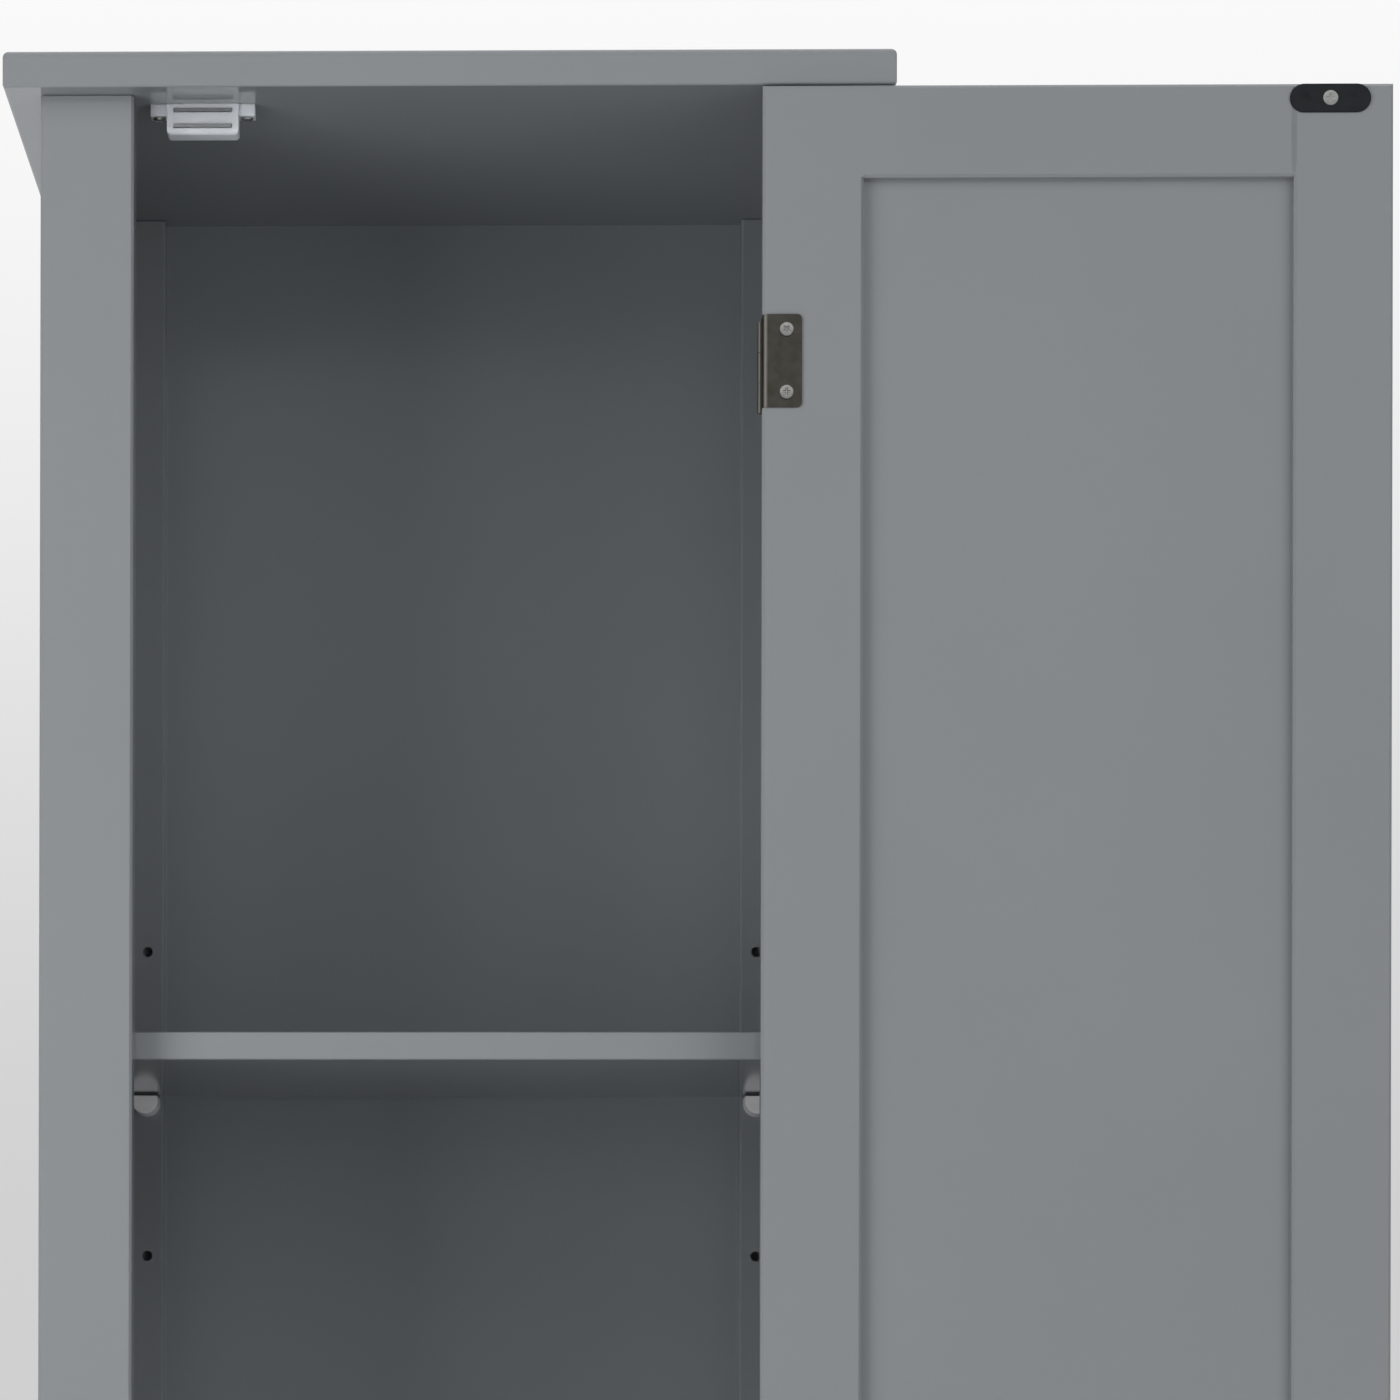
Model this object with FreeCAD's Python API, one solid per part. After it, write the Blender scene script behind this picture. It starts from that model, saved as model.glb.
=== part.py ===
import FreeCAD, Part
import os

# Tall two-door storage cabinet in painted board, in millimetres.
# X runs to the viewer's right, Y into the cabinet and Z up. The origin lies on the floor, in the
# middle of the carcass. The upper door is stored swung open and the lower door shut.

V = FreeCAD.Vector
X_AXIS = V(1, 0, 0)
Y_AXIS = V(0, 1, 0)
Z_AXIS = V(0, 0, 1)

# Carcass
cabinet_height = 1600.0
top_width = 400.0
top_depth = 297.5
top_thick = 16.5
top_side_overhang = 16.0
top_front_overhang = 15.0
top_edge_round = 3.5
top_under_round = 1.2
top_corner_ease = 0.6
post_width = 42.0
post_depth = 20.0
post_edge_ease = 1.2
post_end_ease = 0.6
side_thick = 12.0
side_recess = 4.0
side_tongue = 6.0
back_thick = 5.0
back_recess = 1.0
back_lap = 8.0
board_thick = 15.0
board_edge_ease = 1.0
floor_clearance = 75.0
rail_height = 35.0
rail_thick = 15.0
rail_recess = 1.0
upper_space_height = 872.4
wood_fit = 0.1
housing_depth = 4.0
stub_length = 8.0
stub_shoulder = 4.0

# Adjustable shelves and their pegs
shelf_thick = 12.5
shelf_edge_ease = 0.5
shelf_clearance = 2.0
peg_hole_radius = 2.5
peg_hole_depth = 11.0
peg_hole_inset = 8.0
peg_pitch = 75.0
upper_peg_rows = 3
lower_peg_rows = 1
peg_pin_radius = 2.45
peg_pin_length = 10.0
peg_head_radius = 6.3
peg_head_length = 24.0
peg_flat_height = 2.5
peg_pad_thick = 1.0
peg_pad_margin = 0.8

# Framed doors
door_thick = 15.0
door_end_gap = 1.3
door_latch_gap = 2.2
door_hinge_gap = 1.6
door_edge_ease = 1.2
door_latch_stile_width = 44.0
door_hinge_stile_width = 44.9
door_rail_width = 41.1
door_panel_thick = 4.0
door_panel_back_recess = 6.0
door_groove_depth = 8.0
door_panel_play = 1.0
upper_door_angle = 180.0
lower_door_angle = 0.0

# Wrap-round butt hinges
leaf_sheet = 0.9
leaf_height = 41.6
leaf_reach = 17.6
leaf_corner_round = 2.2
leaf_bend_round = 3.0
frame_leaf_reach = 15.0
barrel_radius = 1.65
barrel_height = 41.0
barrel_standoff = 0.3
knuckle_gap = 0.3
hinge_axis_inset = 1.75
hinge_end_distance = 123.0
hinge_pin_radius = 1.0
hinge_pin_fit = 0.05

# Magnetic catches and their strike plates
strike_length = 36.0
strike_height = 12.7
strike_thick = 1.2
strike_inset = 28.0
strike_drop = 0.25
catch_gap = 0.4
catch_width = 32.5
catch_height = 13.7
catch_depth = 13.5
catch_wall = 1.4
catch_corner_round = 1.8
catch_nose_round = 3.0
catch_ear_length = 7.4
catch_ear_height = 5.3
catch_ear_depth = 10.0
catch_ear_recess = 1.0
pole_width = 26.0
pole_thick = 1.4
pole_proud = 0.8
pole_first_drop = 3.0
pole_pitch = 7.1
pole_play = 0.2
magnet_width = 24.0
magnet_depth = 9.0

# Knobs
knob_neck_radius = 5.5
knob_neck_length = 15.0
knob_radius = 14.0
knob_thick = 9.0
knob_inset = 22.0
knob_end_distance = 130.0

# Floor glides
glide_inset = 3.0
glide_height = 4.0

# Places worked out from the sizes
half_top = top_width / 2
half_body = half_top - top_side_overhang
front = (top_front_overhang - top_depth) / 2
rear = -front
top_front = front - top_front_overhang
post_inner_front = front + post_depth
post_inner_rear = rear - post_depth
half_opening = half_body - post_width
side_outer = half_body - side_recess
side_inner = side_outer - side_thick
back_rear = rear - back_recess
back_front = back_rear - back_thick
ceiling = cabinet_height - top_thick
middle_top = ceiling - upper_space_height
middle_bottom = middle_top - board_thick
bottom_bottom = floor_clearance + rail_height
bottom_top = bottom_bottom + board_thick
peg_x = half_opening + peg_hole_inset
door_left = door_latch_gap - half_opening
door_right = half_opening - door_hinge_gap
door_back = front + door_thick
panel_back = door_back - door_panel_back_recess
panel_front = panel_back - door_panel_thick
hinge_x = half_opening - hinge_axis_inset
hinge_y = front - barrel_radius - barrel_standoff
strike_x = door_left + strike_inset
strike_back = door_back + strike_thick
catch_front = strike_back + catch_gap + pole_proud
knob_x = door_left + knob_inset
spaces = {"upper": (middle_top, ceiling), "lower": (bottom_top, middle_bottom)}
peg_rows = {"upper": upper_peg_rows, "lower": lower_peg_rows}
door_angles = {"upper": upper_door_angle, "lower": lower_door_angle}
knob_heights = {
    "upper": middle_top + door_end_gap + knob_end_distance,
    "lower": middle_bottom - door_end_gap - knob_end_distance,
}
sides = {"left": -1, "right": 1}
post_rows = [(front, post_inner_front), (rear, post_inner_rear)]


def block(x0, x1, y0, y1, z0, z1):
    """Box between two opposite corners, given in any order."""
    low = V(min(x0, x1), min(y0, y1), min(z0, z1))
    return Part.makeBox(abs(x1 - x0), abs(y1 - y0), abs(z1 - z0), low)


def edges_along(shape, axis):
    """Straight edges of a block that run along one axis."""
    chosen = []
    for edge in shape.Edges:
        run = edge.Vertexes[-1].Point - edge.Vertexes[0].Point
        if run.Length > 0 and abs(run.normalize().dot(axis)) > 0.999:
            chosen.append(edge)
    return chosen


def eased(shape, size, axis):
    """A block with its edges along one axis taken off by a small bevel."""
    return shape.makeChamfer(size, edges_along(shape, axis))


def edges_at_height(shape, height):
    """Edges that lie wholly at one height."""
    return [edge for edge in shape.Edges
            if edge.BoundBox.ZLength < 0.001 and abs(edge.CenterOfMass.z - height) < 0.001]


def rounded_at_height(shape, radius, axis, height):
    """A block with its edges along one axis, at one height only, rounded."""
    level = [edge for edge in edges_along(shape, axis) if abs(edge.CenterOfMass.z - height) < 0.001]
    return shape.makeFillet(radius, level)


def rod(radius, start, axis, length):
    """Round bar from a start point along an axis."""
    return Part.makeCylinder(radius, length, start, axis)


def closed_face(edges):
    """Flat face inside a closed run of edges."""
    return Part.Face(Part.Wire(edges))


def line(a, b):
    """Straight edge between two points."""
    return Part.LineSegment(a, b).toShape()


def arc(a, middle, b):
    """Round edge from a to b through a middle point."""
    return Part.Arc(a, middle, b).toShape()


def swung(shape, angle):
    """A door piece turned about the hinge line by the door's stored angle."""
    turned_piece = shape.copy()
    turned_piece.rotate(V(hinge_x, hinge_y, 0), Z_AXIS, angle)
    return turned_piece


def hinge_heights(space):
    """Heights of the two hinges of the door that shuts a space."""
    low, high = spaces[space]
    reach = door_end_gap + hinge_end_distance
    return {"top": high - reach, "bottom": low + reach}


def peg_heights(space):
    """Heights of the peg holes in a space, evenly about its middle."""
    low, high = spaces[space]
    rows = peg_rows[space]
    return [(low + high) / 2 + peg_pitch * (row - (rows - 1) / 2) for row in range(rows)]


def peg_height(space):
    """Height of the pegs under a space's shelf, in the middle row of holes."""
    return peg_heights(space)[peg_rows[space] // 2]


def post_stub(side, outer_y, inner_y, fit):
    """Stub tenon on a post's upper end, grown by a fit for its mortise in the top board."""
    inward = 1 if inner_y > outer_y else -1
    inset = stub_shoulder - fit
    return block(side * (half_opening + inset), side * (half_body - inset),
                 outer_y + inward * inset, inner_y - inward * (side_tongue + inset),
                 ceiling, ceiling + stub_length + fit)


def rail_stub(outer_y, fit):
    """Stub tenons on both ends of a base rail, as one bar grown by a fit for their mortises."""
    way = 1 if outer_y < 0 else -1
    inset = stub_shoulder - fit
    near = outer_y + way * rail_recess
    reach = half_opening + stub_length + fit
    return block(-reach, reach, near + way * inset, near + way * (rail_thick - inset),
                 floor_clearance + inset, bottom_bottom - inset)


def housed_board(z, fit):
    """Wide part of a fixed board that enters both side panels, grown by a fit for its housing."""
    reach = side_inner + housing_depth + fit
    return block(-reach, reach, post_inner_front, post_inner_rear, z - fit, z + board_thick + fit)


def top_panel():
    """Top board that overhangs the front and sides, with rounded edges and mortises below."""
    plain = block(-half_top, half_top, top_front, rear, ceiling, cabinet_height)
    board = eased(plain, top_corner_ease, Z_AXIS)
    for axis in (X_AXIS, Y_AXIS):
        upper_rounded = rounded_at_height(plain, top_edge_round, axis, cabinet_height)
        board = board.common(rounded_at_height(upper_rounded, top_under_round, axis, ceiling))
    mortises = [post_stub(side, *ys, wood_fit) for side in sides.values() for ys in post_rows]
    return board.cut(mortises)


def post(side, outer_y, inner_y):
    """Corner post down to its glide, grooved for the side panel and bored for shelf pegs."""
    inward = 1 if inner_y > outer_y else -1
    shaft = eased(block(side * half_opening, side * half_body, outer_y, inner_y, glide_height, ceiling),
                  post_edge_ease, Z_AXIS)
    shaft = shaft.makeChamfer(post_end_ease, edges_at_height(shaft, ceiling))
    groove = block(side * (side_inner - wood_fit), side * (side_outer + wood_fit), inner_y,
                   inner_y - inward * (side_tongue + wood_fit), floor_clearance - wood_fit, ceiling)
    holes = [rod(peg_hole_radius, V(side * peg_x, inner_y, z), Y_AXIS * -inward, peg_hole_depth)
             for space in spaces for z in peg_heights(space)]
    cut_post = shaft.cut([groove, rail_stub(outer_y, wood_fit)] + holes)
    return cut_post.fuse(post_stub(side, outer_y, inner_y, 0))


def rear_post(side):
    """Rear post with a rebate that takes the back panel's edge."""
    rebate = block(side * half_opening, side * (half_opening + back_lap), back_front, rear,
                   bottom_bottom, ceiling)
    return post(side, rear, post_inner_rear).cut(rebate)


def side_panel(side):
    """Side panel held in the grooves of its two posts, with housings for the fixed boards."""
    panel = block(side * side_inner, side * side_outer, post_inner_front - side_tongue,
                  post_inner_rear + side_tongue, floor_clearance, ceiling)
    return panel.cut([housed_board(z, wood_fit) for z in (middle_bottom, bottom_bottom)])


def back_panel():
    """Thin back panel let into the rear posts."""
    reach = half_opening + back_lap - wood_fit
    return block(-reach, reach, back_front, back_rear, bottom_bottom, ceiling)


def fixed_board(z):
    """Fixed board notched round the four posts, its front edge level with them."""
    waist = eased(block(-half_opening, half_opening, front, back_front, z, z + board_thick),
                  board_edge_ease, X_AXIS)
    return waist.fuse(housed_board(z, 0)).removeSplitter()


def base_rail(outer_y):
    """Rail between two posts under the bottom board, with a stub tenon on each end."""
    way = 1 if outer_y < 0 else -1
    y = outer_y + way * rail_recess
    bar = eased(block(-half_opening, half_opening, y, y + way * rail_thick, floor_clearance,
                      bottom_bottom), board_edge_ease, X_AXIS)
    return bar.fuse(rail_stub(outer_y, 0)).removeSplitter()


def loose_shelf(space):
    """Adjustable shelf that lies on the pads of four pegs behind the front posts."""
    reach = side_inner - shelf_clearance
    z = peg_height(space) + peg_flat_height + peg_pad_thick
    return eased(block(-reach, reach, post_inner_front + shelf_clearance,
                       post_inner_rear - shelf_clearance, z, z + shelf_thick), shelf_edge_ease, X_AXIS)


def shelf_peg(place, outward):
    """Peg pushed into a post, with a head round below and flat on top to carry the shelf."""
    pin = rod(peg_pin_radius, place, outward * -1, peg_pin_length)
    below = rod(peg_head_radius, place, outward, peg_head_length)
    left, right = place.x - peg_head_radius, place.x + peg_head_radius
    tip = place.y + outward.y * peg_head_length
    flat = block(left, right, place.y, tip, place.z, place.z + peg_flat_height)
    above = block(left, right, place.y, tip, place.z + peg_flat_height, place.z + 2 * peg_head_radius)
    return below.cut(above).fuse([flat, pin]).removeSplitter()


def shelf_pegs(space):
    """The four pegs under a space's shelf."""
    z = peg_height(space)
    found = []
    for side in sides.values():
        found.append(shelf_peg(V(side * peg_x, post_inner_front, z), Y_AXIS))
        found.append(shelf_peg(V(side * peg_x, post_inner_rear, z), -Y_AXIS))
    return Part.makeCompound(found)


def shelf_peg_pads(space):
    """A soft pad on the flat of each peg under a space's shelf."""
    half_pad = peg_head_radius - peg_pad_margin
    z = peg_height(space) + peg_flat_height
    pads = []
    for side in sides.values():
        for post_face, reach in ((post_inner_front, peg_head_length), (post_inner_rear, -peg_head_length)):
            pads.append(block(side * peg_x - half_pad, side * peg_x + half_pad, post_face,
                              post_face + reach, z, z + peg_pad_thick))
    return Part.makeCompound(pads)


def floor_glides():
    """A hard pad under each post, a little smaller than the post all round."""
    pads = []
    for side in sides.values():
        for outer_y, inner_y in post_rows:
            inward = 1 if inner_y > outer_y else -1
            pads.append(block(side * (half_opening + glide_inset), side * (half_body - glide_inset),
                              outer_y + inward * glide_inset, inner_y - inward * glide_inset,
                              0, glide_height))
    return Part.makeCompound(pads)


def knuckle(z0, z1, plate_x0, plate_x1):
    """One hinge knuckle between two heights, with the strip of sheet that joins it to its leaf."""
    strip = block(plate_x0, plate_x1, hinge_y, front, z0, z1)
    return rod(barrel_radius, V(hinge_x, hinge_y, z0), Z_AXIS, z1 - z0).fuse(strip)


def knuckle_spans(z):
    """Heights of the lower, middle and upper knuckles of the hinge at height z."""
    third = barrel_height / 3
    low = z - barrel_height / 2
    return [(low + row * third + knuckle_gap / 2, low + (row + 1) * third - knuckle_gap / 2)
            for row in range(3)]


def pin_line(z, radius):
    """Round bar through the knuckles of the hinge at height z, ending inside the outer two."""
    length = barrel_height - 2 * knuckle_gap
    return rod(radius, V(hinge_x, hinge_y, z - length / 2), Z_AXIS, length)


def rounded_tip(leaf, tip):
    """A leaf with the two corners of its free end rounded, the end's middle given in plan."""
    return leaf.makeFillet(leaf_corner_round, [
        edge for edge in leaf.Edges
        if abs(edge.CenterOfMass.x - tip.x) < 0.001 and abs(edge.CenterOfMass.y - tip.y) < 0.001
        and edge.BoundBox.ZLength < 0.001])


def frame_leaf(z):
    """Leaf on the post's inner face, with the outer two knuckles and the pin riveted into them."""
    x0, x1 = half_opening - leaf_sheet, half_opening
    tip_y = front + frame_leaf_reach
    plate = block(x0, x1, front, tip_y, z - leaf_height / 2, z + leaf_height / 2)
    plate = rounded_tip(plate, V((x0 + x1) / 2, tip_y, 0))
    lower, _, upper = knuckle_spans(z)
    return plate.fuse([knuckle(*lower, x0, x1), knuckle(*upper, x0, x1), pin_line(z, hinge_pin_radius)])


def leaf_bend(radius, x, y):
    """Ends and middle of a quarter bend whose outer faces would meet at x, y."""
    centre = V(x - leaf_bend_round, y - leaf_bend_round, 0)
    slant = radius * 0.5 ** 0.5
    return centre + V(radius, 0, 0), centre + V(slant, slant, 0), centre + V(0, radius, 0)


def door_leaf(z):
    """Leaf let into the door's edge and wrapped onto its back, with the bored middle knuckle."""
    outer_y = door_back + leaf_sheet
    tip_x = door_right - leaf_reach
    outer = leaf_bend(leaf_bend_round, door_right, outer_y)
    inner = leaf_bend(leaf_bend_round - leaf_sheet, door_right, outer_y)
    edge_x = door_right - leaf_sheet
    section = closed_face([
        line(V(edge_x, front, 0), V(door_right, front, 0)),
        line(V(door_right, front, 0), outer[0]),
        arc(*outer),
        line(outer[2], V(tip_x, outer_y, 0)),
        line(V(tip_x, outer_y, 0), V(tip_x, door_back, 0)),
        line(V(tip_x, door_back, 0), inner[2]),
        arc(inner[2], inner[1], inner[0]),
        line(inner[0], V(edge_x, front, 0)),
    ])
    sheet = section.translated(V(0, 0, z - leaf_height / 2)).extrude(V(0, 0, leaf_height))
    sheet = rounded_tip(sheet, V(tip_x, (door_back + outer_y) / 2, 0))
    middle = knuckle(*knuckle_spans(z)[1], edge_x, door_right)
    return sheet.fuse(middle).cut(pin_line(z, hinge_pin_radius + hinge_pin_fit))


def leaf_mortise(z):
    """Waste cut from the door's edge so that the wrapped leaf lies level with it."""
    outer_y = door_back + leaf_sheet
    inner = leaf_bend(leaf_bend_round - leaf_sheet, door_right, outer_y)
    edge_x = door_right - leaf_sheet
    past_x = door_right + leaf_sheet
    section = closed_face([
        line(V(edge_x, front, 0), V(past_x, front, 0)),
        line(V(past_x, front, 0), V(past_x, outer_y, 0)),
        line(V(past_x, outer_y, 0), V(inner[2].x, outer_y, 0)),
        line(V(inner[2].x, outer_y, 0), inner[2]),
        arc(inner[2], inner[1], inner[0]),
        line(inner[0], V(edge_x, front, 0)),
    ])
    return section.translated(V(0, 0, z - leaf_height / 2)).extrude(V(0, 0, leaf_height))


def pole_heights(space):
    """Heights of the undersides of a catch's two pole plates."""
    first = spaces[space][1] - pole_first_drop - pole_thick / 2
    return first, first - pole_pitch


def catch_housing(space):
    """Moulded catch body with a rounded nose, screw ears and two slots for the pole plates."""
    high = spaces[space][1]
    low = high - catch_height
    plain = block(strike_x - catch_width / 2, strike_x + catch_width / 2, catch_front,
                  catch_front + catch_depth, low, high)
    nose = [edge for edge in edges_along(plain, X_AXIS)
            if abs(edge.CenterOfMass.z - low) < 0.001 and abs(edge.CenterOfMass.y - catch_front) < 0.001]
    body = plain.makeFillet(catch_nose_round, nose)
    body = body.common(rounded_at_height(plain, catch_corner_round, Y_AXIS, low))
    reach = catch_width / 2 + catch_ear_length
    ear_front = catch_front + catch_ear_recess
    ears = block(strike_x - reach, strike_x + reach, ear_front, ear_front + catch_ear_depth,
                 high - catch_ear_height, high)
    upper, lower = pole_heights(space)
    half_slot = pole_width / 2 + pole_play
    well = block(strike_x - half_slot, strike_x + half_slot, catch_front + catch_wall,
                 catch_front + catch_depth, lower - pole_play, upper + pole_thick + pole_play)
    slots = [block(strike_x - half_slot, strike_x + half_slot, catch_front, catch_front + catch_wall,
                   z - pole_play, z + pole_thick + pole_play) for z in (upper, lower)]
    return body.fuse(ears).cut([well] + slots)


def pole_plates(space):
    """The two steel plates that carry the magnet's pull to the strike plate."""
    return Part.makeCompound([
        block(strike_x - pole_width / 2, strike_x + pole_width / 2, catch_front - pole_proud,
              catch_front + catch_depth - catch_wall, z, z + pole_thick) for z in pole_heights(space)])


def catch_magnet(space):
    """Block magnet clamped between the pole plates."""
    upper, lower = pole_heights(space)
    y = catch_front + catch_wall + pole_play
    return block(strike_x - magnet_width / 2, strike_x + magnet_width / 2, y, y + magnet_depth,
                 lower + pole_thick, upper)


def door_span(space):
    """Lower and upper ends of the door that shuts a space."""
    low, high = spaces[space]
    return low + door_end_gap, high - door_end_gap


def stile_arris(x, y, way_x, way_y, z0, z1):
    """Three-sided waste along a stile's inner corner at x, y, between the two rails."""
    corner = V(x, y, z0)
    along_x = corner + V(way_x * door_edge_ease, 0, 0)
    along_y = corner + V(0, way_y * door_edge_ease, 0)
    section = closed_face([line(corner, along_x), line(along_x, along_y), line(along_y, corner)])
    return section.extrude(V(0, 0, z1 - z0))


def door_stile(space, outer_x, inner_x):
    """Upright of the door's frame, grooved along its inner edge and eased round its outer edges."""
    low, high = door_span(space)
    way = 1 if inner_x > outer_x else -1
    upright = block(outer_x, inner_x, front, door_back, low, high)
    outer_edges = [edge for edge in edges_along(upright, Z_AXIS)
                   if abs(edge.CenterOfMass.x - outer_x) < 0.001]
    upright = upright.makeChamfer(door_edge_ease, outer_edges + edges_along(upright, X_AXIS))
    groove = block(inner_x, inner_x - way * door_groove_depth, panel_front, panel_back, low, high)
    arrises = [stile_arris(inner_x, y, -way, inward, low + door_rail_width, high - door_rail_width)
               for y, inward in ((front, 1), (door_back, -1))]
    return upright.cut([groove] + arrises)


def door_rail(outer_z, inner_z):
    """Cross piece of the door's frame, with stub tenons and a groove along its inner edge."""
    x0, x1 = door_left + door_latch_stile_width, door_right - door_hinge_stile_width
    bar = eased(block(x0, x1, front, door_back, outer_z, inner_z), door_edge_ease, X_AXIS)
    tenon_reach = door_groove_depth - door_panel_play
    tenon = block(x0 - tenon_reach, x1 + tenon_reach, panel_front, panel_back, outer_z, inner_z)
    way = 1 if inner_z > outer_z else -1
    groove = block(x0 - tenon_reach, x1 + tenon_reach, panel_front, panel_back, inner_z,
                   inner_z - way * door_groove_depth)
    return bar.fuse(tenon).cut(groove).removeSplitter()


def door_panel(space):
    """Thin panel held loose in the grooves of the door's frame."""
    low, high = door_span(space)
    hold = door_groove_depth - door_panel_play
    left = door_left + door_latch_stile_width - hold
    right = door_right - door_hinge_stile_width + hold
    return block(left, right, panel_front, panel_back,
                 low + door_rail_width - hold, high - door_rail_width + hold)


def strike_plate(space):
    """Strike plate with round ends, just under the door's top edge."""
    high = door_span(space)[1] - strike_drop
    half = (strike_length - strike_height) / 2
    centre = V(strike_x, door_back, high - strike_height / 2)
    bar = block(centre.x - half, centre.x + half, door_back, strike_back, high - strike_height, high)
    ends = [rod(strike_height / 2, centre + V(way * half, 0, 0), Y_AXIS, strike_thick) for way in (-1, 1)]
    return bar.fuse(ends).removeSplitter()


def knob(space):
    """Flat round knob on a short neck, screwed to the door's front."""
    foot = V(knob_x, front, knob_heights[space])
    neck = rod(knob_neck_radius, foot, -Y_AXIS, knob_neck_length)
    return neck.fuse(rod(knob_radius, foot - Y_AXIS * knob_neck_length, -Y_AXIS, knob_thick))


def door_pieces(space):
    """Every piece that swings with a door, named, in the door's stored place."""
    low, high = door_span(space)
    left_inner = door_left + door_latch_stile_width
    right_inner = door_right - door_hinge_stile_width
    mortises = [leaf_mortise(z) for z in hinge_heights(space).values()]
    pieces = {
        "latch_stile": door_stile(space, door_left, left_inner),
        "hinge_stile": door_stile(space, door_right, right_inner).cut(mortises),
        "top_rail": door_rail(high, high - door_rail_width),
        "bottom_rail": door_rail(low, low + door_rail_width),
        "panel": door_panel(space),
        "strike_plate": strike_plate(space),
        "knob": knob(space),
    }
    for end, z in hinge_heights(space).items():
        pieces[end + "_hinge_leaf"] = door_leaf(z)
    return {space + "_door_" + piece: swung(shape, door_angles[space]) for piece, shape in pieces.items()}


def carcass_pieces():
    """The boards and posts of the carcass, named, with the glides under them."""
    pieces = {
        "top_panel": top_panel(),
        "back_panel": back_panel(),
        "middle_board": fixed_board(middle_bottom),
        "bottom_board": fixed_board(bottom_bottom),
        "front_base_rail": base_rail(front),
        "rear_base_rail": base_rail(rear),
        "floor_glides": floor_glides(),
    }
    for name, side in sides.items():
        pieces["front_" + name + "_post"] = post(side, front, post_inner_front)
        pieces["rear_" + name + "_post"] = rear_post(side)
        pieces[name + "_side_panel"] = side_panel(side)
    return pieces


def space_pieces(space):
    """Shelf, pegs, catch and fixed hinge halves of one space, named."""
    pieces = {
        "shelf": loose_shelf(space),
        "shelf_pegs": shelf_pegs(space),
        "shelf_peg_pads": shelf_peg_pads(space),
        "catch_housing": catch_housing(space),
        "catch_pole_plates": pole_plates(space),
        "catch_magnet": catch_magnet(space),
    }
    for end, z in hinge_heights(space).items():
        pieces[end + "_frame_leaf"] = frame_leaf(z)
    return {space + "_" + piece: shape for piece, shape in pieces.items()}


def main():
    """Build every piece and write one file for each."""
    os.makedirs("parts", exist_ok=True)
    nodes = carcass_pieces()
    for space in spaces:
        nodes.update(space_pieces(space))
        nodes.update(door_pieces(space))
    for name, shape in nodes.items():
        shape.exportStep("parts/" + name + ".step")


main()
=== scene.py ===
"""Looks of a tall painted storage cabinet: finishes, small fittings, studio and camera.

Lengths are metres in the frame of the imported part: X to the viewer's right, Y into the cabinet, Z up.
The upper door is stored open and the lower door shut.
"""

import logging
import math
from dataclasses import dataclass, field
from enum import Enum

import bmesh
import bpy
import numpy as np
from mathutils import Matrix, Vector


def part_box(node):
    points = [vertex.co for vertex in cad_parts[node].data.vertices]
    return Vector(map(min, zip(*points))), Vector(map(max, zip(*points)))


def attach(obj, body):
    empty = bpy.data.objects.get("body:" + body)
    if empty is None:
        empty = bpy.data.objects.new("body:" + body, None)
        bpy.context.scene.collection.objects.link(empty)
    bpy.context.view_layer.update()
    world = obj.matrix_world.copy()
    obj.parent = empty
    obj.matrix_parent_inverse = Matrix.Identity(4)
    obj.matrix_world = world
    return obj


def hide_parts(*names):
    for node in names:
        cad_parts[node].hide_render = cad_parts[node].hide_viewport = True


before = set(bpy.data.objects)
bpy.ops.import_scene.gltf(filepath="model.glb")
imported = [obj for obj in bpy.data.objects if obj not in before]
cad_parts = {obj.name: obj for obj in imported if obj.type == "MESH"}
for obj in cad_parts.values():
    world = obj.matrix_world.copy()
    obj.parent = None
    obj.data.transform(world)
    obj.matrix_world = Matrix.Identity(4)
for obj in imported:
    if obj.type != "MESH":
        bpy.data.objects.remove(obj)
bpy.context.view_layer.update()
LOG = logging.getLogger("cabinet")
MM = 0.001
# Points of a piece closer than this become one, and edges bent more than this stay sharp.
WELD_DISTANCE = 0.0005 * MM
SHARP_ANGLE = math.radians(38)
# Keeps a division clear of zero.
TINY = 1e-6
# Turn in radians from one screw's cross to the next, so that no two look alike.
GOLDEN_TURN = 2.4
# Backdrop low and high, as the camera and reflections see it.
HORIZON = "#D0D0D0"
ZENITH = "#FBFBFB"
# Numbers of a Mix node's two colour inputs and of its colour output.
MIX_FIRST = 6
MIX_SECOND = 7
MIX_RESULT = 2


class Facing(Enum):
    """Way that the back of a door looks in the stored pose."""

    TO_VIEWER = -1
    TO_BACK = 1


def linear(colour: str) -> tuple[float, float, float, float]:
    """Turn an sRGB hex colour into the linear values that sockets take, by the sRGB standard's curve.

    Args:
        colour: text such as "#8A8E91".

    Returns:
        Linear red, green, blue and an alpha of 1.
    """
    parts = np.array([int(colour[i:i + 2], 16) for i in (1, 3, 5)]) / 255
    low, high = parts / 12.92, ((parts + 0.055) / 1.055) ** 2.4
    return (*np.where(parts <= 0.04045, low, high).tolist(), 1.0)


def add_node(tree: bpy.types.NodeTree, kind: str, inputs: dict[str | int, object] | None = None,
             **settings: object) -> bpy.types.Node:
    """Add one node, set its properties and feed its sockets.

    Args:
        tree: tree that gets the node.
        kind: Blender's type name of the node.
        inputs: socket name or number, with a constant or an output socket to link from.
        **settings: properties of the node itself.

    Returns:
        The new node.
    """
    node = tree.nodes.new(kind)
    for name, value in settings.items():
        setattr(node, name, value)
    for key, value in (inputs or {}).items():
        if isinstance(value, bpy.types.NodeSocket):
            tree.links.new(value, node.inputs[key])
        else:
            node.inputs[key].default_value = value
    return node


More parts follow.
